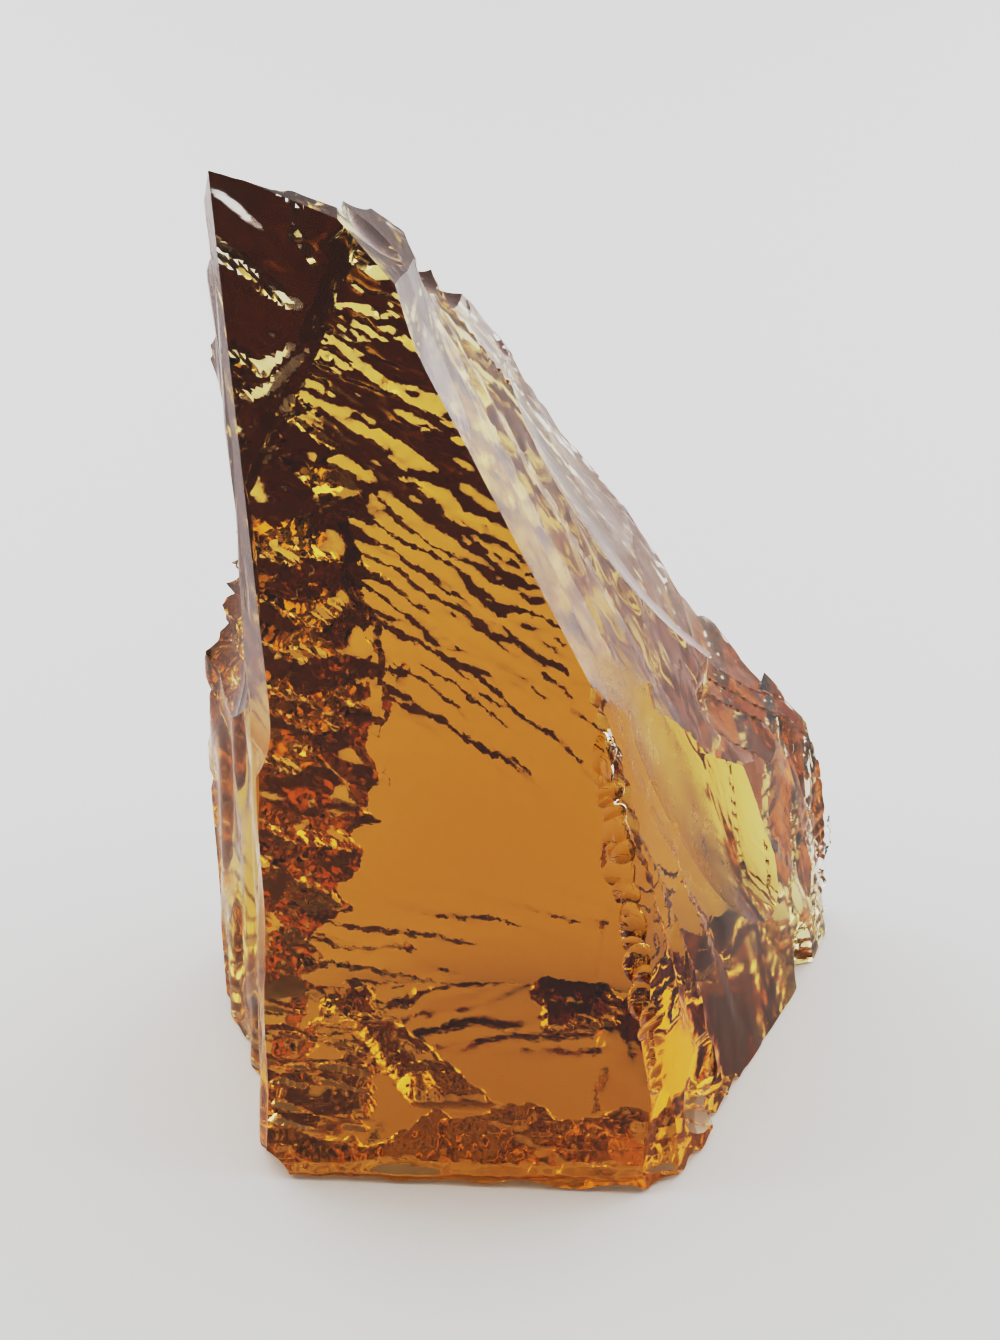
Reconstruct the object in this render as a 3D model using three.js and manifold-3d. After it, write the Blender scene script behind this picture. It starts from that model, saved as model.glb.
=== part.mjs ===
// A broken piece of clear amber glass, sold as an andara crystal: a tall wedge that stands on its own
// flat underside. Every face is a fracture. The block it broke from is cut first by large bent
// sheets, one for each face, then by bowl-shaped scars, then by small chips along its edges.
// Millimetres, +Z up, front towards -Y, origin on the underside at the middle of the bounding box.
import * as THREE from "three";
import { mergeVertices } from "three/addons/utils/BufferGeometryUtils.js";
import Module from "manifold-3d";

const wasm = await Module();
wasm.setup();

// Driving dimensions.
const stoneWidth = 66; // left lobe to right chunk
const stoneDepth = 50.5; // front edge of the underside to the back
const stoneHeight = 95; // underside to tip
const roughMargin = 12; // rough block left around the stone before it is broken
const sheetReach = 75; // half the width of a fracture sheet
const sheetStep = 2.75; // spacing of the points on a fracture sheet
const sheetDepth = 110; // thickness of what a sheet takes away
const scarFullness = 0.7; // how far a scar's ball sits outside the face, over its radius

// One sheet for each face. at is a point of the face; yaw is the way it faces, 0 to the front and 90 to
// the right; lean is how far it looks up. bend and rise are its curvatures across and up (1/mm, plus is
// hollow). A ramp lifts the sheet outwards beyond start, in the direction of its angle, and soft rounds
// its foot. Waves are ribs: angle across them, length, height.
const sheets = {
  front: { at: [-8.4, -20.1, 35], yaw: -3.5, lean: 5.6, bend: 0.0004, rise: 0.0004 },
  lobeFoot: { at: [-30.9, 10, 22], yaw: -90, lean: -1.6 },
  leftLobe: {
    at: [-23.8, -18.9, 45],
    yaw: -86,
    lean: -0.4,
    bend: 0.003,
    rise: 0.0012,
    ramps: [{ angle: 180, start: 12, slope: 0.25, soft: 2 }],
    waves: [
      { angle: 8, length: 7, height: 0.3 },
      { angle: -7, length: 4.3, height: 0.15 },
    ],
  },
  leftBevel: {
    at: [-27, -8.9, 72],
    yaw: -66,
    lean: -1.5,
    ramps: [
      { angle: 180, start: 3, slope: -0.3, soft: 1 },
      { angle: -90, start: 28, slope: 0.6, soft: 1.2 },
    ],
  },
  backLeft: { at: [-22.8, 14.6, 31], yaw: -137, lean: 7, bend: 0.003 },
  back: {
    at: [-2.4, 25.1, 20],
    yaw: 180,
    lean: 0,
    bend: -0.002,
    rise: -0.0125,
    waves: [
      { angle: 104, length: 14, height: 0.35 },
      { angle: 113, length: 8.3, height: 0.35 },
      { angle: 121, length: 5.2, height: 0.2 },
    ],
  },
  flank: {
    at: [-0.8, -5.9, 65.6],
    yaw: 86.4,
    lean: 26.7,
    ramps: [
      { angle: -78, start: 40, slope: 0.42, soft: 2 },
      { angle: 90, start: 17, slope: 0.2, soft: 1 },
    ],
  },
  top: { at: [-19, -14, 92.8], yaw: 90, lean: 68 },
  shoulder: { at: [-12.2, -14.7, 87.6], yaw: 92, lean: 40 },
  tipBack: { at: [-15.6, -7.9, 88], yaw: -137, lean: 30, bend: 0.1 },
  rightFront: { at: [9.2, -22.2, 25.4], yaw: 64.5, lean: 10.4 },
  chunk: {
    at: [30.6, 20.1, 15],
    yaw: 77,
    lean: 19,
    ramps: [{ angle: -90, start: 0, slope: -0.2, soft: 3 }],
    waves: [
      { angle: 80, length: 6, height: 0.25 },
      { angle: 96, length: 3.7, height: 0.12 },
    ],
  },
};

// One scar for each bowl-shaped hollow. at is its middle on the face; spin turns its length from level;
// long and wide are half its length and width, deep its depth.
const scars = {
  scoop: { at: [15.6, -4.4, 33], yaw: 68, lean: 14, spin: -62, long: 24, wide: 9.5, deep: 3.6 },
  flankScoop: { at: [9.5, 12, 50], yaw: 88, lean: 33, spin: -70, long: 19, wide: 10, deep: 1.6 },
  flankHollow: { at: [0.5, -4, 66], yaw: 84, lean: 26, spin: -80, long: 15, wide: 7, deep: 0.8 },
  cuspNotch: { at: [29.1, 8.6, 1], yaw: 80, lean: 5, spin: 90, long: 6, wide: 2.6, deep: 2.5 },
  upperNotch: { at: [-9.1, -0.9, 81.5], yaw: 110, lean: 50, spin: 0, long: 6, wide: 2.5, deep: 1.2 },
  lowerNotch: { at: [-6.9, 3.1, 78.5], yaw: 100, lean: 45, spin: 0, long: 6, wide: 2.2, deep: 1.2 },
  topLens: { at: [-12.3, -10, 87.7], yaw: 88, lean: 42, spin: -60, long: 4, wide: 2.4, deep: 0.8 },
  waist: { at: [-26, -3.5, 58], yaw: -88, lean: -4, spin: 90, long: 16, wide: 11, deep: 2.6 },
  heel: { at: [-8, 23.5, 3], yaw: 170, lean: -25, spin: 10, long: 7, wide: 4.5, deep: 2.2 },
  heelRight: { at: [7, 23.8, 2], yaw: 188, lean: -30, spin: -5, long: 5, wide: 3.5, deep: 1.6 },
  shell: { at: [16.4, -15.4, 6.2], yaw: 64, lean: 8, spin: 30, long: 4.6, wide: 3.6, deep: 1 },
  corner: { at: [13, -22.9, 4.5], yaw: 30, lean: 8, spin: 80, long: 6, wide: 2.4, deep: 0.8 },
  toe: { at: [-24.6, -20.9, 1], yaw: -50, lean: -30, spin: 0, long: 4, wide: 3, deep: 1 },
};

// Small chips along an edge: from and to are its ends, yaw and lean the way the chips face.
const chippedEdges = [
  { from: [5.6, -20, 46], to: [12.6, -22.6, 9], yaw: 30, lean: 8, count: 11, size: [1.3, 2.6], deep: 0.45 },
  { from: [-23, -22.8, 0], to: [12, -25.1, 0], yaw: -4, lean: -35, count: 9, size: [2, 4.5], deep: 0.35 },
  { from: [14, -23.5, 0], to: [26, 1, 0], yaw: 65, lean: -35, count: 6, size: [1.2, 2.4], deep: 0.4 },
  { from: [-8, 0, 82], to: [8, 19, 52], yaw: 120, lean: 45, count: 6, size: [1.2, 2.6], deep: 0.4 },
];

// Same numbers each time, from 0 to 1.
let seed = 20607;
function chance() {
  seed = (seed * 16807) % 2147483647;
  return seed / 2147483647;
}

// Matrix of a face's own axes: x level along it, y up it, z out of it.
function faceMatrix(at, yaw, lean, spin = 0) {
  const y = THREE.MathUtils.degToRad(yaw);
  const l = THREE.MathUtils.degToRad(lean);
  const out = new THREE.Vector3(Math.sin(y) * Math.cos(l), -Math.cos(y) * Math.cos(l), Math.sin(l));
  const along = new THREE.Vector3(0, 0, 1).cross(out).normalize();
  const up = new THREE.Vector3().crossVectors(out, along);
  const matrix = new THREE.Matrix4().makeBasis(along, up, out);
  matrix.multiply(new THREE.Matrix4().makeRotationZ(THREE.MathUtils.degToRad(spin)));
  return matrix.setPosition(...at);
}

// Height of a sheet above its flat, at x along it and y up it.
function sheetHeight(sheet, x, y) {
  const { bend = 0, rise = 0, ramps = [], waves = [] } = sheet;
  let height = (bend * x * x + rise * y * y) / 2;
  for (const { angle, start, slope, soft } of ramps) {
    const a = THREE.MathUtils.degToRad(angle);
    const past = (x * Math.cos(a) + y * Math.sin(a) - start) / soft;
    height += slope * soft * (past > 30 ? past : Math.log1p(Math.exp(past)));
  }
  for (const { angle, length, height: half } of waves) {
    const a = THREE.MathUtils.degToRad(angle);
    height += half * Math.sin(((x * Math.cos(a) + y * Math.sin(a)) / length) * 2 * Math.PI);
  }
  return height;
}

// Closed geometry to solid.
function solidOf(geometry) {
  geometry.deleteAttribute("normal");
  geometry.deleteAttribute("uv");
  const merged = mergeVertices(geometry, 1e-5);
  const mesh = new wasm.Mesh({
    numProp: 3,
    vertProperties: merged.attributes.position.array,
    triVerts: Uint32Array.from(merged.index.array),
  });
  return new wasm.Manifold(mesh);
}

function sheetCutter(sheet) {
  const steps = Math.round((2 * sheetReach) / sheetStep);
  const slab = new THREE.BoxGeometry(2 * sheetReach, 2 * sheetReach, sheetDepth, steps, steps, 1);
  const points = slab.attributes.position;
  for (let i = 0; i < points.count; i++) {
    if (points.getZ(i) < 0) {
      points.setZ(i, -sheetDepth / 2 + sheetHeight(sheet, points.getX(i), points.getY(i)));
    }
  }
  slab.translate(0, 0, sheetDepth / 2);
  slab.applyMatrix4(faceMatrix(sheet.at, sheet.yaw, sheet.lean));
  return solidOf(slab);
}

function scarCutter({ at, yaw, lean, spin, long, wide, deep }, around = 24, over = 14) {
  const radius = deep / (1 - scarFullness);
  const widen = 1 / Math.sqrt(1 - scarFullness ** 2);
  const ball = new THREE.SphereGeometry(1, around, over);
  ball.rotateX(Math.PI / 2);
  ball.scale(long * widen, wide * widen, radius);
  ball.translate(0, 0, radius * scarFullness);
  ball.applyMatrix4(faceMatrix(at, yaw, lean, spin));
  return solidOf(ball);
}

function chipCutters({ from, to, yaw, lean, count, size, deep }) {
  const start = new THREE.Vector3(...from);
  const end = new THREE.Vector3(...to);
  const chips = [];
  for (let i = 0; i < count; i++) {
    const at = start.clone().lerp(end, (i + 0.2 + 0.6 * chance()) / count);
    const long = size[0] + (size[1] - size[0]) * chance();
    chips.push({
      at: at.toArray(),
      yaw: yaw + 40 * (chance() - 0.5),
      lean: lean + 30 * (chance() - 0.5),
      spin: 180 * chance(),
      long,
      wide: long * (0.5 + 0.4 * chance()),
      deep: deep * (0.7 + 0.8 * chance()),
    });
  }
  return chips.map((chip) => scarCutter(chip, 10, 8));
}

function makeCrystal() {
  const rough = new THREE.BoxGeometry(
    stoneWidth + 2 * roughMargin,
    stoneDepth + 2 * roughMargin,
    stoneHeight + roughMargin,
  );
  rough.translate(0, 0, (stoneHeight + roughMargin) / 2);
  let stone = solidOf(rough);
  const cutters = [
    ...Object.values(sheets).map(sheetCutter),
    ...Object.values(scars).map((scar) => scarCutter(scar)),
    ...chippedEdges.flatMap(chipCutters),
  ];
  for (const cutter of cutters) {
    stone = stone.subtract(cutter);
  }
  const { vertProperties, triVerts } = stone.getMesh();
  const geometry = new THREE.BufferGeometry();
  geometry.setAttribute("position", new THREE.BufferAttribute(vertProperties, 3));
  geometry.setIndex(new THREE.BufferAttribute(triVerts, 1));
  geometry.computeBoundingBox();
  const middle = geometry.boundingBox.getCenter(new THREE.Vector3());
  geometry.translate(-middle.x, -middle.y, 0);
  geometry.computeVertexNormals();
  return geometry;
}

const amberGlass = new THREE.MeshStandardMaterial({
  color: 0xc88732,
  roughness: 0.05,
  metalness: 0,
  transparent: true,
  opacity: 0.6,
});

const group = new THREE.Group();
const crystal = new THREE.Mesh(makeCrystal(), amberGlass);
crystal.name = "crystal";
group.add(crystal);

export default group;
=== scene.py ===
from math import radians

import bmesh
import bpy
import numpy as np
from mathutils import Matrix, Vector


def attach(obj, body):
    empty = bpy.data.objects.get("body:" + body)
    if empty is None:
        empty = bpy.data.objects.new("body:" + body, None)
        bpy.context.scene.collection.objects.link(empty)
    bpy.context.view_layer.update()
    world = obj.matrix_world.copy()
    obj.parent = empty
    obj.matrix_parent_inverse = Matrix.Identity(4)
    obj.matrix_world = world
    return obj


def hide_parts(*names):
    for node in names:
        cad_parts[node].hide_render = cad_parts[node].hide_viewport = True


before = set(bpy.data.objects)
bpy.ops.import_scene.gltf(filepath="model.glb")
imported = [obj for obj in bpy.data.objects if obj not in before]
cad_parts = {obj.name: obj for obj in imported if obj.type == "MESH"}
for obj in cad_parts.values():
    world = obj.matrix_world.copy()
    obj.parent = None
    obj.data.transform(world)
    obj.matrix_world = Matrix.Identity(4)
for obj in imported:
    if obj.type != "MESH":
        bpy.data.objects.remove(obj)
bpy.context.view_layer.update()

print("frame loaded")

mm = 0.001  # the shapes are worked out in millimetres and end in metres


def linear(hexColour):  # an sRGB hex colour as linear red, green and blue, with full alpha
    raw = [int(hexColour[i:i + 2], 16) / 255 for i in (1, 3, 5)]
    return [c / 12.92 if c <= 0.04045 else ((c + 0.055) / 1.055) ** 2.4 for c in raw] + [1]


def addNode(tree, kind, inputs=None, **settings):  # an input is a number, a colour or another node's socket
    node = tree.nodes.new(kind)
    for name, value in settings.items():
        setattr(node, name, value)
    for name, value in (inputs or {}).items():
        if isinstance(value, bpy.types.NodeSocket):
            tree.links.new(value, node.inputs[name])
        else:
            node.inputs[name].default_value = value
    return node


# The stone is a block from which bent sheets and bowls are cut. A sheet takes away all that lies beyond it:
# at is a point on it, yaw and lean (degrees) say where it faces, bend and rise are how much it curves
# sideways and upwards, and each ramp has its direction, start, slope and softness. Where it shows, a sheet is
# drawn finely: fine holds its ends along, its ends upwards, and the spacing of its points.
# A scar is a bowl: long and wide are half its length and width, and spin turns it on the face.

stone = {
    "middle": (0.970, 0.446),  # this point of the plan goes to the origin, under the middle of the stone
    "block": ((-45, -38, -3), (46, 38, 107)),
    "sheets": {
        "base": {
            "at": (0, 0, 0), "yaw": 0, "lean": -89.999,
            "fine": (-28, 30, -26, 28, 0.33), "relief": "base",
        },
        "front": {
            "at": (-8.4, -20.1, 35), "yaw": -3.5, "lean": 5.6, "bend": 0.0004, "rise": 0.0004,
            "fine": (-24, 24, -38, 64, 1.2),
        },
        "lobeFoot": {
            "at": (-30.9, 10, 22), "yaw": -90, "lean": -1.6,
            "fine": (-15, 12, -23, 30, 0.6),
        },
        "leftLobe": {
            "at": (-23.8, -18.9, 45), "yaw": -86, "lean": -0.4, "bend": 0.003, "rise": 0.0012,
            "ramps": [(180, 12, 0.25, 2)],
            "fine": (-40, 6, -46, 14, 0.5), "relief": "lobe",
        },
        "leftBevel": {
            "at": (-27, -8.9, 72), "yaw": -66, "lean": -1.5,
            "ramps": [(180, 3, -0.3, 1), (-90, 28, 0.6, 1.2)],
            "fine": (-20, 10, -30, 26, 0.6),
        },
        "backLeft": {
            "at": (-22.8, 14.6, 31), "yaw": -137, "lean": 7, "bend": 0.003,
            "fine": (-20, 22, -32, 45, 0.45), "relief": "backLeft",
        },
        "back": {
            "at": (-2.4, 25.1, 20), "yaw": 180, "lean": 0, "bend": -0.002, "rise": -0.0125,
            "fine": (-36, 24, -21, 66, 0.42), "relief": "back",
        },
        "flank": {
            "at": (-0.8, -5.9, 65.6), "yaw": 86.4, "lean": 26.7,
            "ramps": [(-78, 40, 0.42, 2), (90, 17, 0.2, 1)],
            "fine": (-16, 34, -48, 30, 0.5), "relief": "flank",
        },
        "top": {
            "at": (-19, -14, 92.8), "yaw": 90, "lean": 68,
            "fine": (-4, 14, -8, 10, 0.6),
        },
        "shoulder": {
            "at": (-12.2, -14.7, 87.6), "yaw": 92, "lean": 40,
            "fine": (-4, 18, -8, 8, 0.5),
        },
        "tipBack": {
            "at": (-15.6, -7.9, 88), "yaw": -137, "lean": 30, "bend": 0.1,
            "fine": (-16, 16, -35, 10, 0.4), "relief": "tipBack",
        },
        "rightFront": {
            "at": (9.2, -22.2, 25.4), "yaw": 64.5, "lean": 10.4,
            "fine": (-6, 48, -28, 26, 0.5), "relief": "rightFront",
        },
        "chunk": {
            "at": (30.6, 20.1, 15), "yaw": 77, "lean": 19,
            "ramps": [(-90, 0, -0.2, 3)],
            "fine": (-26, 10, -18, 28, 0.4), "relief": "chunk",
        },
    },
    "sheetReach": 75,  # beyond the fine part the sheets go on, coarsely, past the whole block
    "coarseSteps": 6,
    "sheetDepth": 110,
    "scars": {
        "scoop": {
            "at": (14.4, -7.4, 33.5), "yaw": 82, "lean": 17, "spin": -64,
            "long": 22, "wide": 6.4, "deep": 1.9,
        },
        "flankScoop": {
            "at": (9.5, 12, 50), "yaw": 88, "lean": 33, "spin": -70,
            "long": 19, "wide": 10, "deep": 1.6,
        },
        "flankHollow": {
            "at": (0.5, -4, 66), "yaw": 84, "lean": 26, "spin": -80,
            "long": 15, "wide": 7, "deep": 0.8,
        },
        "cuspNotch": {
            "at": (29.1, 8.6, 1), "yaw": 80, "lean": 5, "spin": 90,
            "long": 6, "wide": 2.6, "deep": 2.5,
        },
        "upperNotch": {
            "at": (-9.1, -0.9, 81.5), "yaw": 110, "lean": 50, "spin": 0,
            "long": 6, "wide": 2.5, "deep": 1.2,
        },
        "lowerNotch": {
            "at": (-6.9, 3.1, 78.5), "yaw": 100, "lean": 45, "spin": 0,
            "long": 6, "wide": 2.2, "deep": 1.2,
        },
        "topLens": {
            "at": (-12.3, -10, 87.7), "yaw": 88, "lean": 42, "spin": -60,
            "long": 4, "wide": 2.4, "deep": 0.8,
        },
        "waist": {
            "at": (-26, -3.5, 58), "yaw": -88, "lean": -4, "spin": 90,
            "long": 16, "wide": 11, "deep": 2.6,
        },
        "shell": {
            "at": (16.4, -15.4, 6.2), "yaw": 64, "lean": 8, "spin": 30,
            "long": 4.6, "wide": 3.6, "deep": 1,
        },
        "corner": {
            "at": (13, -22.9, 4.5), "yaw": 30, "lean": 8, "spin": 80,
            "long": 6, "wide": 2.4, "deep": 0.8,
        },
        "toe": {
            "at": (-24.6, -20.9, 1), "yaw": -50, "lean": -30, "spin": 0,
            "long": 4, "wide": 3, "deep": 1,
        },
    },
    "scarFullness": 0.7,  # from 0, a half ball, to 1, a flat dish
    "chippedEdges": [
        {
            "from": (5.6, -20, 46), "to": (12.6, -22.6, 9), "yaw": 30, "lean": 8,
            "count": 34, "size": (0.6, 1.7), "deep": 0.2,
        },
        {
            "from": (-23, -22.8, 0), "to": (12, -25.1, 0), "yaw": -4, "lean": -35,
            "count": 9, "size": (2, 4.5), "deep": 0.35,
        },
        {
            "from": (14, -23.5, 0), "to": (26, 1, 0), "yaw": 65, "lean": -35,
            "count": 6, "size": (1.2, 2.4), "deep": 0.4,
        },
        {
            "from": (-8, 0, 82), "to": (8, 19, 52), "yaw": 120, "lean": 45,
            "count": 6, "size": (1.2, 2.6), "deep": 0.4,
        },
    ],
    "chipSeed": 7,
    "chipTurn": {"yaw": 40, "lean": 30, "spin": 180},  # degrees, how far chips differ from each other
    "chipWidth": (0.5, 0.9),  # of its length
    "chipDepth": (0.7, 1.5),  # of the depth that its edge gives
    "sharpFrom": 22,  # degrees, an edge that turns more than this stays sharp
    "dullness": {
        "all": 0.015,
        "worn": {"flank": (0.1, 0.9), "leftBevel": (0.12, 0.97), "shoulder": (0.12, 0.9)},
        "wornSoft": 0.06,
        "scoop": {"amount": 0.32, "edge": 1.05, "soft": 0.2, "reach": 6},
        "tip": {"amount": 0.07, "from": 68, "soft": 16, "facing": -0.1, "facingSoft": 0.2},
    },
}


def faceAxes(yaw, lean, spin=0):  # along, up and out of a face that is turned yaw from the front
    yaw, lean, spin = radians(yaw), radians(lean), radians(spin)
    out = np.array([np.sin(yaw) * np.cos(lean), -np.cos(yaw) * np.cos(lean), np.sin(lean)])
    along = np.cross([0, 0, 1], out)
    along /= np.linalg.norm(along)
    up = np.cross(out, along)
    return along * np.cos(spin) + up * np.sin(spin), up * np.cos(spin) - along * np.sin(spin), out


def softPast(value):  # nothing before 0 and one for one after it, with a soft turn between
    return np.logaddexp(0, value)


def smooth(value):  # from 0 to 1 without a corner
    x = np.clip(value, 0, 1)
    return x * x * (3 - 2 * x)


def within(value, low, high, soft):  # 1 between low and high, and 0 beyond them
    return 1 / (1 + np.exp(-(value - low) / soft)) / (1 + np.exp((value - high) / soft))


def turned(u, v, angle):  # the same point along and across a line that is turned by the angle
    a = np.radians(angle)
    return u * np.cos(a) + v * np.sin(a), v * np.cos(a) - u * np.sin(a)


grainTables = {}
grainSize = 97


def grain(u, v, seed):  # smooth random field from 0 to 1, one knot per unit
    if seed not in grainTables:
        grainTables[seed] = np.random.default_rng(seed).random((grainSize, grainSize))
    table = grainTables[seed]
    i, j = np.floor(u).astype(int), np.floor(v).astype(int)
    a, b = u - i, v - j
    a, b = a * a * a * (a * (a * 6 - 15) + 10), b * b * b * (b * (b * 6 - 15) + 10)
    i0, i1, j0, j1 = i % grainSize, (i + 1) % grainSize, j % grainSize, (j + 1) % grainSize
    low = table[i0, j0] * (1 - a) + table[i1, j0] * a
    high = table[i0, j1] * (1 - a) + table[i1, j1] * a
    return low * (1 - b) + high * b


def drift(u, v, long, wide, size, seed):  # random to and fro, in waves of long by wide
    return size * (grain(u / long, v / wide, seed) - 0.5)


def crease(u, v, seed):  # sharp ridges where the field passes its middle
    return 1 - np.abs(2 * grain(u, v, seed) - 1)


def patchy(u, v, long, wide, gain, start, seed):  # 1 in some places and 0 in others
    return smooth(gain * grain(u / long, v / wide, seed) - start)


raggedWaves = ((5, 1.6, 1.6), (2.4, 0.8, 0.9), (1.1, 0.5, 0.4))  # length, width and size of each


def ragged(s, t, seed, size=1):  # torn, brush-like edges drawn out along s
    waves = [drift(s, t, *wave, seed + k) for k, wave in enumerate(raggedWaves)]
    return size * (waves[0] + waves[1] + waves[2])


stepRow = {"start": -110, "length": 120}  # millimetres, past its end a face goes on as one slope


def unevenSteps(seed, low, high):  # a row of steps, each from low to high wide
    count = int(2 * stepRow["length"] / (low + high)) + 2
    return np.cumsum(np.random.default_rng(seed).uniform(low, high, count)) + stepRow["start"]


def stepAt(t, steps):  # the number of the step, its width and the share of it that lies behind t
    steps = np.asarray(steps, float)
    k = np.clip(np.searchsorted(steps, t, side="right") - 1, 0, len(steps) - 2)
    width = steps[k + 1] - steps[k]
    return k, width, (t - steps[k]) / width


def rise(p, drop):  # up along the step, and down again over the last share of it
    return p - np.clip((p - 1 + drop) / drop, 0, 1)


def stair(t, steps, drop):  # a row of even slopes, with a drop at the end of each
    k, width, p = stepAt(t, steps)
    return width * (rise(p, drop) - 0.5 + drop / 2)


def facets(t, steps, drop, slopes, seed):  # like a stair, each step with a slope of its own
    k, width, p = stepAt(t, steps)
    return np.random.default_rng(seed).uniform(*slopes, len(steps))[k] * width * rise(p, drop)


def treads(t, steps, drop, slope):  # steps that drop slowly, leaning just enough to hide what is behind
    return slope * drop / (1 - drop) * stair(t, steps, drop)


# The reliefs give how far the broken skin stands out of its sheet, in millimetres, at u along and v up it.

belowFoot = -40  # further down than any sheet shows

backFace = {
    "coarse": [-60, -30, -8, 6, 12.4, 16.6, 20, 24, 30.5, 35, 39, 44, 49, 90],
    "fine": [
        -60, -20, 0, 4, 7, 9.5, 11.6, 13.4, 15.6, 17.2, 19.6, 21, 23.6,
        25.3, 27.9, 29.2, 31.8, 33.4, 36, 38, 40.4, 42, 45, 47, 50, 90,
    ],
    "tear": 40,  # degrees, the way the torn steps run
    "steeper": 0.0096,  # slope gained with each millimetre up
    "steepTo": 70,
    "coarseDrop": (2.1, 0.12, 0.6),  # the share of a step on which it drops: per slope, least and most
    "fineDrop": (0.75, 0.07, 0.42),
    "strokeTurn": 14,  # short dark strokes near the foot
    "strokeHeight": 0.75,
    "strokesTo": -13,
    "leavesFrom": 12,  # past this the face turns to the side, in long upright leaves
    "leavesTo": 17,  # the highest that they reach
    "leavesSoft": 1.2,
    "leafLean": 0.12,
    "leafSlopes": (0.28, 0.4),
    "leafSink": 1.1,
    "swellHeight": 0.9,  # and the rest of the lower face swells gently in the middle
    "swellSlopes": (0.16, 0.1),
    "swellSoft": 1.5,
    "swellTo": 11,
}


def dropShare(slope, perSlope, least, most):  # the steeper the step, the longer it takes to drop
    return np.clip(slope * perSlope, least, most)


def backRelief(u, v):  # upright golden faces with dark torn treads between them
    face = backFace
    s, t = turned(u, v, face["tear"] + drift(u, v, long=19, wide=15, size=5, seed=9))
    slope = face["steeper"] * np.clip(v, 0, face["steepTo"])
    moved = t + drift(s, t, long=21, wide=11, size=5, seed=1)
    coarse = moved + ragged(s, t, seed=2, size=1.7)
    coarse = stair(coarse, face["coarse"], drop=dropShare(slope, *face["coarseDrop"]))
    fine = moved + ragged(s, t, seed=5, size=0.8)
    fine = stair(fine, face["fine"], drop=dropShare(slope, *face["fineDrop"]))
    mix = patchy(s, t, long=12, wide=4, gain=3.4, start=0.45, seed=8)

    p, q = turned(u, v, face["strokeTurn"])
    strokeSteps = unevenSteps(seed=2, low=1.3, high=3.4)
    strokes = face["strokeHeight"] * stair(q + ragged(p, q, seed=41, size=0.8), strokeSteps, drop=0.4)
    strokes = strokes * within(v, belowFoot, face["strokesTo"], soft=1.2)
    strokes = strokes * patchy(p, q, long=9, wide=3, gain=4, start=1.1, seed=44)

    right = smooth((-u - face["leavesFrom"] + 2 * grain(v / 5, u / 3, 47)) / face["leavesSoft"])
    right = right * within(v, belowFoot, face["leavesTo"], soft=1.5)
    leaves = u + face["leafLean"] * v + drift(u, v, long=9, wide=9, size=2, seed=45)
    leaves = leaves + ragged(v, u, seed=46, size=0.25)
    leafSteps = unevenSteps(seed=7, low=3.5, high=7)
    leaves = facets(leaves, leafSteps, drop=0.06, slopes=face["leafSlopes"], seed=48)
    leaves = right * (leaves - face["leafSink"])

    soft = face["swellSoft"]
    toRight, toLeft = face["swellSlopes"]
    swell = face["swellHeight"] - soft * (toRight * softPast(-u / soft) + toLeft * softPast(u / soft))
    swell = np.maximum(swell, -face["swellHeight"]) * within(v, belowFoot, face["swellTo"], soft=2.5)
    hackle = drift(s, t, long=15, wide=1.1, size=0.055, seed=49) * (1 - right)
    return slope * (coarse * mix + fine * (1 - mix)) + strokes + leaves + swell + hackle


backLeftFace = {
    "tear": 36,
    "tornHeight": 0.8,
    "tornSlope": 0.68,
    "shardTurn": 84,
    "shardHeight": 0.9,
    "shardFade": 0.6,  # how much of them goes where the face is torn
    "lancesFrom": 5,
    "lancesSoft": 5,
}


def backLeftRelief(u, v):  # upright shards, each with a thin bright edge
    face = backLeftFace
    s, t = turned(u, v, face["tear"])
    p, q = turned(u, v, face["shardTurn"])
    shards = -q + drift(p, q, long=11, wide=6, size=4, seed=11) + ragged(p, q, seed=12, size=0.8)
    shards = stair(shards, unevenSteps(seed=5, low=2.4, high=6.5), drop=0.84)
    lances = drift(s, t, long=6, wide=2, size=1.6, seed=16) + drift(s, t, long=3, wide=1, size=0.4, seed=17)
    lances = smooth((-u - face["lancesFrom"]) / face["lancesSoft"]) * lances
    torn = t + drift(s, t, long=8, wide=6, size=5, seed=18) + ragged(s, t, seed=19, size=0.6)
    torn = treads(torn, unevenSteps(seed=4, low=2, high=6.5), drop=0.9, slope=face["tornSlope"])
    mix = patchy(p, q, long=16, wide=5, gain=4, start=0.7, seed=15)
    shards = face["shardHeight"] * shards * (1 - face["shardFade"] * mix)
    return shards + face["tornHeight"] * torn * mix + lances


tipBackFace = {
    "tear": 38,
    "slopes": (-0.85, -0.25),
    "extraLean": 0.15,
    "leanFromTo": (-8, 8),
    "leanMiddle": 5,
    "tornFrom": -1,  # torn to the left of this, in slivers to the right
    "tornSoft": 4,
    "sliverTurn": -58,
    "sliverHeight": 0.6,
}


def tipBackRelief(u, v):  # steep dark facets on the left, slivers on the right
    face = tipBackFace
    s, t = turned(u, v, face["tear"])
    torn = t + drift(s, t, long=8, wide=6, size=4, seed=21) + ragged(s, t, seed=22, size=0.5)
    torn = facets(torn, unevenSteps(seed=3, low=2.5, high=6), drop=0.12, slopes=face["slopes"], seed=26)
    torn = torn - face["extraLean"] * (np.clip(v, *face["leanFromTo"]) - face["leanMiddle"])
    p, q = turned(u, v, face["sliverTurn"])
    slivers = q + drift(p, q, long=9, wide=5, size=3, seed=27) + ragged(p, q, seed=28)
    slivers = stair(slivers, unevenSteps(seed=6, low=1.5, high=5), drop=0.5)
    left = smooth((u - face["tornFrom"]) / face["tornSoft"])
    places = patchy(u, v, long=8, wide=9, gain=3, start=1, seed=25)
    return left * torn + (1 - left) * face["sliverHeight"] * slivers * places


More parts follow.
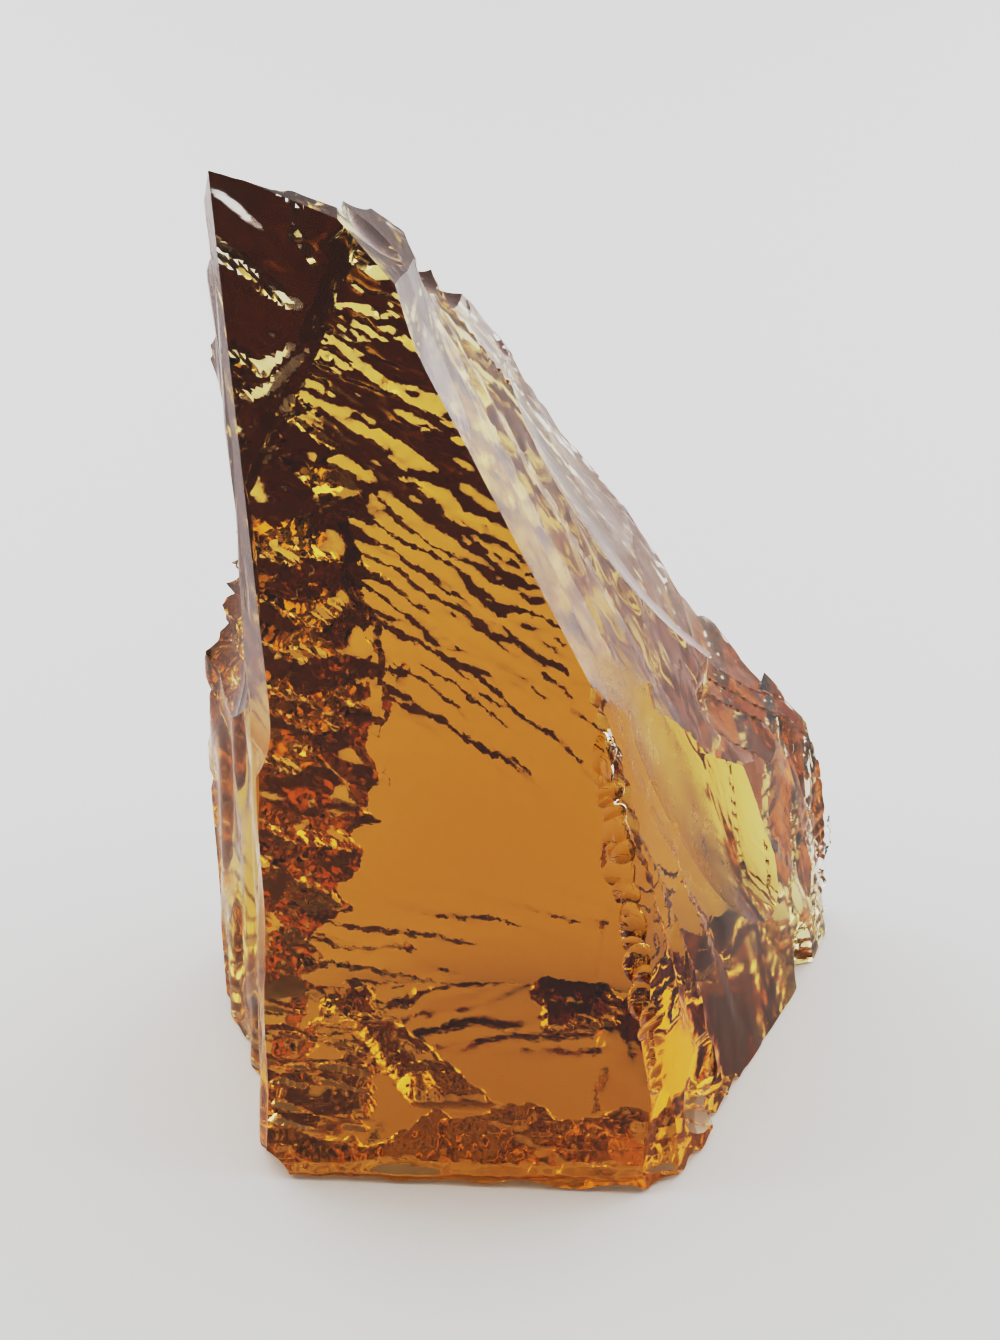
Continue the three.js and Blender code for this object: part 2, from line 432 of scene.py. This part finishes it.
baseFace = {  # x runs to the right and y backwards, in millimetres, and the foot is torn in front of its edge
    "foot": {"edge": -8, "step": 6.5, "stepFrom": 8, "stepSoft": 4, "soft": 1.6},
    "blade": {
        "at": (-13.4, 10.8), "lean": 0.43, "half": 3.1, "widen": 0.08,
        "from": -6, "to": 13, "jag": 0.4, "soft": 1.3,
    },
    "heel": {"at": (6.4, 11.2), "half": 4.4, "lean": 0.4, "leanFrom": 6, "jag": 0.8, "soft": 1.4},
    "strokes": {"turn": -24, "from": 14, "soft": 1.5},
    "shells": {"apart": 3.1, "height": 0.35, "lift": 1.36, "drop": 0.13},
    "hackle": {"apart": 1.8, "height": 0.06},
    "flame": {"at": (-10.5, 4), "rays": 3.5, "reach": 14, "height": 0.8, "x": (-14.5, -8), "y": (-21, -1)},
    "rim": {"from": 21, "soft": 2, "calm": 0.6},
}


def baseRelief(u, v):  # torn in places, each shell rises backwards and drops again
    x, y = u, -v
    jag = drift(x, y, long=2.2, wide=3.5, size=2.4, seed=71)
    jag = jag + drift(x, y, long=0.9, wide=1.5, size=1.2, seed=72)

    part = baseFace["foot"]
    edge = part["edge"] - part["step"] * smooth((-x - part["stepFrom"]) / part["stepSoft"])
    edge = edge + drift(x, y, long=5, wide=9, size=5, seed=73)
    foot = smooth((edge + jag - y) / part["soft"])

    part = baseFace["blade"]
    ahead = part["at"][1] - y
    half = part["half"] + part["widen"] * ahead
    blade = half - np.abs(x - (part["at"][0] + part["lean"] * ahead)) + part["jag"] * jag
    blade = smooth(blade / part["soft"]) * within(y, part["from"], part["to"], soft=0.6)

    part = baseFace["heel"]
    heel = smooth((part["half"] - np.abs(x - part["at"][0]) + part["jag"] * jag) / part["soft"])
    behind = y - part["at"][1] - part["lean"] * (x - part["leanFrom"])
    heel = heel * smooth((behind + jag) / part["soft"])

    part = baseFace["strokes"]
    p, q = turned(x, y, part["turn"])
    strokes = smooth((-x - part["from"] + jag) / part["soft"])
    strokes = strokes * patchy(p, q, long=7, wide=1.7, gain=8, start=3.6, seed=74)
    torn = np.maximum(np.maximum(foot, blade), np.maximum(heel, strokes))

    part = baseFace["shells"]
    back = y + drift(x, y, long=7, wide=9, size=2, seed=76) + ragged(y, x, seed=77, size=0.3)
    shells = stair(back, np.arange(-60.0, 60, part["apart"]), part["drop"])
    shells = part["height"] * (shells + part["lift"])

    part = baseFace["hackle"]
    hackle = part["height"] * crease(x / part["apart"], y / part["apart"], 78)

    part = baseFace["flame"]
    fan = np.arctan2(y - part["at"][1], x - part["at"][0])
    flame = within(x, *part["x"], soft=0.5) * within(y, *part["y"], soft=1)
    hackle = hackle + flame * part["height"] * crease(fan * part["rays"], y / part["reach"], 79)

    part = baseFace["rim"]
    calm = 1 - part["calm"] * smooth((-part["from"] - y) / part["soft"])
    return -torn * (shells + hackle) * calm


lobeFace = {
    "ribs": [{"turn": 8, "apart": 7, "height": 0.3}, {"turn": -7, "apart": 4.3, "height": 0.15}],
    "hackleHeight": 0.35,
    "hackleFromTo": (12, 60),
}
fullTurn = 6.283  # radians


def lobeRelief(u, v):  # slow upright ribs, with hackle behind them
    ribs = 0
    for rib in lobeFace["ribs"]:
        ribs = ribs + rib["height"] * np.sin(fullTurn * turned(u, v, rib["turn"])[0] / rib["apart"])
    hackle = lobeFace["hackleHeight"] * crease(u / 3, v / 11, 31)
    return ribs + hackle * within(-u, *lobeFace["hackleFromTo"], soft=2)


flankFace = {
    "fanFrom": (1, 24),  # the long facets start here, near the tip
    "fanScale": 40,  # their widths and heights are those this far down
    "growth": (0.2, 1.6),  # least and most height, further up and further down
    "steps": [-60, -8, -3.5, 1.5, 5, 13.5, 60],
    "slopes": [0, 0.1, 0.22, 0.12, 0.3, 0.06, 0],
    "sink": 0.35,
    "hackle": 0.12,
    "lumpFrom": (11, 33),  # to the right of one and below the other
    "lumpSoft": (3, 4),
    "lumpTurn": 112,
    "lumpSlopes": (0.0, 0.42),
    "lumpSink": 0.6,
}


def flankRelief(u, v):  # long facets that fan out downwards from the tip, then the crest and the lump
    face = flankFace
    fanU, fanV = face["fanFrom"]
    away = np.hypot(u - fanU, fanV - v)
    fan = face["fanScale"] * np.arctan2(u - fanU, fanV - v)
    fan = fan + drift(u, v, long=11, wide=14, size=2.5, seed=43) + ragged(v, u, seed=44, size=0.35)
    k, width, share = stepAt(fan, face["steps"])
    long = np.take(face["slopes"], k) * width * rise(share, drop=0.08)
    long = long * np.clip(away / face["fanScale"], *face["growth"])

    lumpU, lumpV = face["lumpFrom"]
    softU, softV = face["lumpSoft"]
    lump = smooth((-v - lumpV) / softV) * smooth((u - lumpU) / softU)
    p, q = turned(u, v, face["lumpTurn"])
    broken = -q + drift(p, q, long=7, wide=4, size=2, seed=45) + ragged(p, q, seed=46, size=0.4)
    broken = facets(broken, unevenSteps(seed=12, low=2, high=6), drop=0.1, slopes=face["lumpSlopes"], seed=47)
    hackle = face["hackle"] * crease(u / 9, v / 20, 41)
    return long * (1 - lump) + lump * (broken - face["lumpSink"]) + hackle - face["sink"]


rightFrontFace = {
    "fanFrom": (-2, 38),
    "fanScale": 26,
    "slopes": (0.0, 0.5),
    "sink": 0.4,
    "calmFrom": (14, 7),  # the grooves fade to the right of one and below the other
    "calmSoft": (8, 4),
    "calm": (0.75, 0.35),
}


def rightFrontRelief(u, v):  # grooves that fan out downwards from the top of the face
    face = rightFrontFace
    fanU, fanV = face["fanFrom"]
    fan = face["fanScale"] * np.arctan2(u - fanU, fanV - v)
    fan = fan + drift(u, v, long=5, wide=12, size=1.2, seed=51) + ragged(v, u, seed=52, size=0.3)
    grooves = facets(fan, unevenSteps(seed=9, low=1.4, high=5.4), drop=0.12, slopes=face["slopes"], seed=53)
    fromU, fromV = face["calmFrom"]
    softU, softV = face["calmSoft"]
    calmU, calmV = face["calm"]
    calm = (1 - calmU * smooth((u - fromU) / softU)) * (1 - calmV * smooth((-v - fromV) / softV))
    return (grooves - face["sink"]) * calm + drift(u, v, long=2.5, wide=7, size=0.12, seed=55)


chunkFace = {
    "turn": 100,
    "slopes": (-0.02, 0.38),
    "sink": 0.7,
    "ribHeight": 0.35,
    "ribsFromTo": (-14, -1),
}


def chunkRelief(u, v):  # broad facets turned to the front, stepped like stairs
    face = chunkFace
    s, t = turned(u, v, face["turn"])
    broad = -t + drift(s, t, long=9, wide=5, size=2, seed=61) + ragged(s, t, seed=62, size=0.35)
    broad = facets(broad, unevenSteps(seed=11, low=2.5, high=7.5), drop=0.08, slopes=face["slopes"], seed=63)
    ribs = v + drift(u, v, long=4, wide=4, size=1.5, seed=65)
    ribs = face["ribHeight"] * stair(ribs, unevenSteps(seed=8, low=1, high=2.6), drop=0.5)
    return broad - face["sink"] + within(v, *face["ribsFromTo"], soft=1.5) * ribs


reliefs = {
    "base": baseRelief, "back": backRelief, "backLeft": backLeftRelief, "tipBack": tipBackRelief,
    "lobe": lobeRelief, "flank": flankRelief, "rightFront": rightFrontRelief, "chunk": chunkRelief,
}


def gridLine(low, high, step):  # fine from low to high, and coarse from there to the ends of the sheet
    reach, count = stone["sheetReach"], stone["coarseSteps"]
    middle = np.linspace(low, high, int(round((high - low) / step)) + 1)
    return np.concatenate([np.linspace(-reach, low, count)[:-1], middle, np.linspace(high, reach, count)[1:]])


def sheetSolid(sheet):  # the sheet, closed by walls and a far end to the solid that it cuts away
    along, up, out = faceAxes(sheet["yaw"], sheet["lean"])
    u0, u1, v0, v1, step = sheet["fine"]
    u, v = np.meshgrid(gridLine(u0, u1, step), gridLine(v0, v1, step), indexing="ij")
    h = (sheet.get("bend", 0) * u * u + sheet.get("rise", 0) * v * v) / 2
    for angle, start, slope, soft in sheet.get("ramps", []):
        h = h + slope * soft * softPast((turned(u, v, angle)[0] - start) / soft)
    if "relief" in sheet:
        h = h + reliefs[sheet["relief"]](u, v)
    at = np.array(sheet["at"], float)
    near = (at + u[..., None] * along + v[..., None] * up + h[..., None] * out).reshape(-1, 3)
    cols, rows = u.shape
    index = np.arange(cols * rows).reshape(cols, rows)
    a, b, c, d = (x.ravel() for x in (index[:-1, :-1], index[1:, :-1], index[1:, 1:], index[:-1, 1:]))
    ring = np.concatenate([index[:, 0], index[-1, 1:], index[-2::-1, -1], index[0, -2:0:-1]])
    far = near[ring] + (stone["sheetDepth"] - (near[ring] - at) @ out)[:, None] * out
    points = np.vstack([near, far, [at + stone["sheetDepth"] * out]])
    k = cols * rows
    i = np.arange(len(ring))
    j = (i + 1) % len(ring)
    centre = np.full(len(ring), len(points) - 1)
    faces = np.vstack([
        np.stack([a, c, b], 1), np.stack([a, d, c], 1),
        np.stack([ring[i], ring[j], k + j], 1), np.stack([ring[i], k + j, k + i], 1),
        np.stack([k + i, k + j, centre], 1),
    ])
    return points, faces


def scarSolid(scar, around=64, over=40):  # a flattened ball, sunk into the face by its depth
    along, up, out = faceAxes(scar["yaw"], scar["lean"], scar["spin"])
    fullness = stone["scarFullness"]
    radius = scar["deep"] / (1 - fullness)
    widen = 1 / np.sqrt(1 - fullness ** 2)
    theta = np.linspace(0, np.pi, over + 1)[1:-1]
    phi = np.arange(around) * 2 * np.pi / around
    t, p = np.meshgrid(theta, phi, indexing="ij")
    unit = np.stack([np.sin(t) * np.cos(p), np.sin(t) * np.sin(p), np.cos(t)], -1).reshape(-1, 3)
    unit = np.vstack([unit, [0, 0, 1], [0, 0, -1]])
    centre = np.array(scar["at"], float) + out * radius * fullness
    points = centre + unit[:, :1] * scar["long"] * widen * along
    points = points + unit[:, 1:2] * scar["wide"] * widen * up + unit[:, 2:] * radius * out
    index = np.arange((over - 1) * around).reshape(over - 1, around)
    after = np.roll(index, -1, 1)
    top, bottom = len(unit) - 2, len(unit) - 1
    a, b, c, d = index[:-1].ravel(), index[1:].ravel(), after[1:].ravel(), after[:-1].ravel()
    faces = np.vstack([
        np.stack([a, b, c], 1), np.stack([a, c, d], 1),
        np.stack([np.full(around, top), index[0], after[0]], 1),
        np.stack([np.full(around, bottom), after[-1], index[-1]], 1),
    ])
    return points, faces


def blockSolid(low, high):
    xs, ys, zs = zip(low, high)
    points = np.array([(x, y, z) for x in xs for y in ys for z in zs], float)
    quads = [(0, 1, 3, 2), (4, 6, 7, 5), (0, 4, 5, 1), (2, 3, 7, 6), (0, 2, 6, 4), (1, 5, 7, 3)]
    return points, np.array([t for a, b, c, d in quads for t in ((a, b, c), (a, c, d))])


def meshObject(name, points, faces):
    mesh = bpy.data.meshes.new(name)
    mesh.from_pydata(points.tolist(), [], faces.tolist())
    piece = bpy.data.objects.new(name, mesh)
    bpy.context.scene.collection.objects.link(piece)
    return piece


def cut(piece, solids):
    cutters = [meshObject("cutter", *solid) for solid in solids]
    for cutter in cutters:
        modifier = piece.modifiers.new("cut", "BOOLEAN")
        modifier.operation, modifier.solver, modifier.object = "DIFFERENCE", "MANIFOLD", cutter
    bpy.context.view_layer.update()
    done = bpy.data.meshes.new_from_object(piece.evaluated_get(bpy.context.evaluated_depsgraph_get()))
    piece.modifiers.clear()
    piece.data = done
    for cutter in cutters:
        mesh = cutter.data
        bpy.data.objects.remove(cutter)
        bpy.data.meshes.remove(mesh)


def between(pair, share):  # from the first of the pair to the second
    return pair[0] + (pair[1] - pair[0]) * share


def edgeChips(edge, rng):  # small scars, one on each stretch of the edge
    start, end = np.array(edge["from"], float), np.array(edge["to"], float)
    turn = stone["chipTurn"]
    chips = []
    for i in range(edge["count"]):
        long = between(edge["size"], rng.random())
        chips.append({
            "at": start + (end - start) * (i + 0.2 + 0.6 * rng.random()) / edge["count"],
            "yaw": edge["yaw"] + turn["yaw"] * (rng.random() - 0.5),
            "lean": edge["lean"] + turn["lean"] * (rng.random() - 0.5),
            "spin": turn["spin"] * rng.random(),
            "long": long,
            "wide": long * between(stone["chipWidth"], rng.random()),
            "deep": edge["deep"] * between(stone["chipDepth"], rng.random()),
        })
    return chips


def dropCrumbs(mesh):  # the cuts can leave loose slivers beside the stone, and only the stone is kept
    ends = np.empty(len(mesh.edges) * 2, int)
    mesh.edges.foreach_get("vertices", ends)
    first, second = ends[::2], ends[1::2]
    group = np.arange(len(mesh.vertices))
    while True:
        lowest = np.minimum(group[first], group[second])
        joined = group.copy()
        np.minimum.at(joined, first, lowest)
        np.minimum.at(joined, second, lowest)
        joined = joined[joined]
        if (joined == group).all():
            break
        group = joined
    loose = np.flatnonzero(group != np.bincount(group).argmax())
    work = bmesh.new()
    work.from_mesh(mesh)
    work.verts.ensure_lookup_table()
    bmesh.ops.delete(work, geom=[work.verts[i] for i in loose], context="VERTS")
    work.to_mesh(mesh)
    work.free()
    print("loose points dropped", len(loose))


def addDullness(mesh, points):  # how dull the skin is at each point: worn faces, the satin scoop and the tip
    dull = stone["dullness"]
    normals = np.empty(len(mesh.vertices) * 3)
    mesh.vertices.foreach_get("normal", normals)
    normals = normals.reshape(-1, 3)
    value = np.full(len(points), dull["all"])
    soft = dull["wornSoft"]
    for name, (amount, close) in dull["worn"].items():  # close is how near the skin's tilt is to the sheet's
        out = faceAxes(stone["sheets"][name]["yaw"], stone["sheets"][name]["lean"])[2]
        value = np.maximum(value, amount * smooth((normals @ out - close + soft) / soft))
    scoop, satin = stone["scars"]["scoop"], dull["scoop"]
    away = points + (*stone["middle"], 0) - scoop["at"]
    along, up, out = faceAxes(scoop["yaw"], scoop["lean"], scoop["spin"])
    reach = np.sqrt((away @ along / scoop["long"]) ** 2 + (away @ up / scoop["wide"]) ** 2)
    inside = smooth((satin["edge"] - reach) / satin["soft"]) * (np.abs(away @ out) < satin["reach"])
    value = np.maximum(value, satin["amount"] * inside)
    tip = dull["tip"]
    high = smooth((points[:, 2] - tip["from"]) / tip["soft"])
    behind = smooth((normals[:, 1] - tip["facing"]) / tip["facingSoft"])
    value = np.maximum(value, tip["amount"] * high * behind)
    mesh.attributes.new("dullness", "FLOAT", "POINT").data.foreach_set("value", value)


def makeStone():
    piece = meshObject("crystal_glass", *blockSolid(*stone["block"]))
    cut(piece, [sheetSolid(sheet) for sheet in stone["sheets"].values()])
    print("sheets cut", len(piece.data.polygons))
    cut(piece, [scarSolid(scar) for scar in stone["scars"].values()])
    rng = np.random.default_rng(stone["chipSeed"])
    for edge in stone["chippedEdges"]:
        cut(piece, [scarSolid(chip, around=20, over=12) for chip in edgeChips(edge, rng)])
    print("scars and chips cut", len(piece.data.polygons))
    mesh = piece.data
    dropCrumbs(mesh)
    points = np.empty(len(mesh.vertices) * 3)
    mesh.vertices.foreach_get("co", points)
    points = points.reshape(-1, 3)
    points[:, 0] -= stone["middle"][0]
    points[:, 1] -= stone["middle"][1]
    mesh.vertices.foreach_set("co", (points * mm).ravel())
    mesh.update()
    addDullness(mesh, points)
    mesh.shade_smooth()
    mesh.set_sharp_from_angle(angle=radians(stone["sharpFrom"]))
    print("stone", len(mesh.polygons), "faces", points.min(0).round(2), points.max(0).round(2))
    return piece


crystal = makeStone()
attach(crystal, "root")
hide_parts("crystal")

glass = {
    "colour": "#ffffff",  # the skin itself takes no light away, all the colour is in the depth
    "ior": 1.5,
    "absorbPerMetre": (14.5, 30, 76),  # of red, green and blue
    "cloudSize": 2.5,  # millimetres, the patches in which the dullness changes
    "cloudGain": 2,  # makes up for the patches, which halve the dullness on average
    "rippleSize": 1.1,  # millimetres, the fine waviness of a fracture
    "rippleDepth": 0.012,
}


def amberGlass():  # soda-lime glass, amber all through and broken cold: honey where thin, brown where deep
    material = bpy.data.materials.new("amberGlass")
    material.use_nodes = True
    tree = material.node_tree
    shader = tree.nodes["Principled BSDF"]
    shader.inputs["Base Color"].default_value = linear(glass["colour"])
    shader.inputs["Transmission Weight"].default_value = 1
    shader.inputs["IOR"].default_value = glass["ior"]
    place = addNode(tree, "ShaderNodeTexCoord").outputs["Object"]
    dullness = addNode(tree, "ShaderNodeAttribute", attribute_name="dullness")
    cloud = addNode(tree, "ShaderNodeTexNoise", {
        "Vector": place, "Scale": 1 / (glass["cloudSize"] * mm), "Detail": 4,
    })
    uneven = addNode(tree, "ShaderNodeMath", {
        0: dullness.outputs["Fac"], 1: cloud.outputs[0],
    }, operation="MULTIPLY")
    rough = addNode(tree, "ShaderNodeMath", {
        0: uneven.outputs[0], 1: glass["cloudGain"],
    }, operation="MULTIPLY")
    tree.links.new(rough.outputs[0], shader.inputs["Roughness"])
    ripple = addNode(tree, "ShaderNodeTexNoise", {
        "Vector": place, "Scale": 1 / (glass["rippleSize"] * mm), "Detail": 3,
    })
    bump = addNode(tree, "ShaderNodeBump", {
        "Height": ripple.outputs[0], "Distance": glass["rippleDepth"] * mm, "Strength": 1,
    })
    tree.links.new(bump.outputs[0], shader.inputs["Normal"])
    strongest = max(glass["absorbPerMetre"])
    kept = [1 - a / strongest for a in glass["absorbPerMetre"]]
    absorb = addNode(tree, "ShaderNodeVolumeAbsorption", {"Density": strongest, "Color": (*kept, 1)})
    tree.links.new(absorb.outputs[0], tree.nodes["Material Output"].inputs["Volume"])
    return material


crystal.data.materials.clear()
crystal.data.materials.append(amberGlass())
print("glass made")

floorSheet = {"halfSide": 1500, "below": 0.2, "colour": "#e7e7e7", "roughness": 0.8}


def makeFloor():  # matt uncoated paper: an even pale grey with no shine
    side, low = floorSheet["halfSide"] * mm, -floorSheet["below"] * mm
    points = np.array([(-side, -side, low), (side, -side, low), (side, side, low), (-side, side, low)])
    floor = meshObject("floor", points, np.array([(0, 1, 2), (0, 2, 3)]))
    material = bpy.data.materials.new("paper")
    material.use_nodes = True
    shader = material.node_tree.nodes["Principled BSDF"]
    shader.inputs["Base Color"].default_value = linear(floorSheet["colour"])
    shader.inputs["Roughness"].default_value = floorSheet["roughness"]
    floor.data.materials.append(material)


tent = {  # a white light tent, dimmer on the front side
    "colour": "#ffffff",
    "light": 0.98,
    "frontLight": 0.3,
    "frontTilt": 0.6,  # how far the bright part comes over the top to the front
    "border": 0.25,  # half the width of the change between the two
    "wallAt": 165,  # millimetres to each side
    "wallFrom": -60,
    "wallTo": 460,
    "wallHeight": 320,
    "wallLight": 1.6,
}


def makeTent():
    world = bpy.data.worlds.new("tent")
    bpy.context.scene.world = world
    world.use_nodes = True
    tree = world.node_tree
    tree.nodes.clear()
    direction = addNode(tree, "ShaderNodeTexCoord")
    split = addNode(tree, "ShaderNodeSeparateXYZ", {0: direction.outputs["Generated"]})
    facing = addNode(tree, "ShaderNodeMath", {
        0: split.outputs["Z"], 1: tent["frontTilt"], 2: split.outputs["Y"],
    }, operation="MULTIPLY_ADD")
    strength = addNode(tree, "ShaderNodeMapRange", {
        "Value": facing.outputs[0], "From Min": -tent["border"], "From Max": tent["border"],
        "To Min": tent["frontLight"], "To Max": tent["light"],
    }, interpolation_type="SMOOTHSTEP")
    light = addNode(tree, "ShaderNodeBackground", {
        "Color": linear(tent["colour"]), "Strength": strength.outputs[0],
    })
    addNode(tree, "ShaderNodeOutputWorld", {"Surface": light.outputs[0]})


def makeWalls():  # two tall soft lights, one on each side
    for side in (-1, 1):
        data = bpy.data.lights.new("wall", "AREA")
        data.shape = "RECTANGLE"
        data.size = (tent["wallTo"] - tent["wallFrom"]) * mm
        data.size_y = tent["wallHeight"] * mm
        data.energy = tent["wallLight"] * np.pi * data.size * data.size_y
        wall = bpy.data.objects.new("wall", data)
        bpy.context.scene.collection.objects.link(wall)
        middle = (tent["wallFrom"] + tent["wallTo"]) / 2
        wall.location = Vector((side * tent["wallAt"], middle, tent["wallHeight"] / 2)) * mm
        wall.rotation_euler = (radians(90), 0, radians(90 * side))


view = {
    "target": (-2.4, -4.9, 44.31),  # in the plan of the stone
    "from": (0, -216.51, 125),  # the target, 250 mm away and 30 degrees up
    "sensor": 36,
    "lens": 73.88,
    "nearest": 1,
    "white": 3,  # the brightest light that the picture still tells apart
    "brightest": 0.95,
    "tones": (
        (0.03, 0.013), (0.12, 0.06), (0.3, 0.22), (0.5, 0.46),
        (0.8, 0.635), (1.2, 0.71), (1.7, 0.755), (2.3, 0.85),
    ),
}


def makeCamera():
    data = bpy.data.cameras.new("camera")
    camera = bpy.data.objects.new("camera", data)
    bpy.context.scene.collection.objects.link(camera)
    x, y, z = view["target"]
    target = Vector((x - stone["middle"][0], y - stone["middle"][1], z)) * mm
    camera.location = target + Vector(view["from"]) * mm
    camera.rotation_euler = (target - camera.location).to_track_quat("-Z", "Y").to_euler()
    data.sensor_fit, data.sensor_height = "VERTICAL", view["sensor"]
    data.lens = view["lens"]
    data.clip_start = view["nearest"] * mm
    bpy.context.scene.camera = camera


def setTones():  # holds back the brightest tones, so that the pale ground keeps its shade
    settings = bpy.context.scene.view_settings
    settings.view_transform = "Standard"
    settings.use_curve_mapping = True
    settings.curve_mapping.white_level = (view["white"], view["white"], view["white"])
    curve = settings.curve_mapping.curves[3]
    curve.points[1].location = (1, view["brightest"])
    for light, shown in view["tones"]:
        curve.points.new(light / view["white"], shown)
    settings.curve_mapping.update()


glassBounces = 24  # light turns many times inside the stone before it leaves

makeFloor()
makeTent()
makeWalls()
makeCamera()
setTones()
bpy.context.scene.cycles.max_bounces = glassBounces
bpy.context.scene.cycles.transmission_bounces = glassBounces
print("floor, light and camera set")
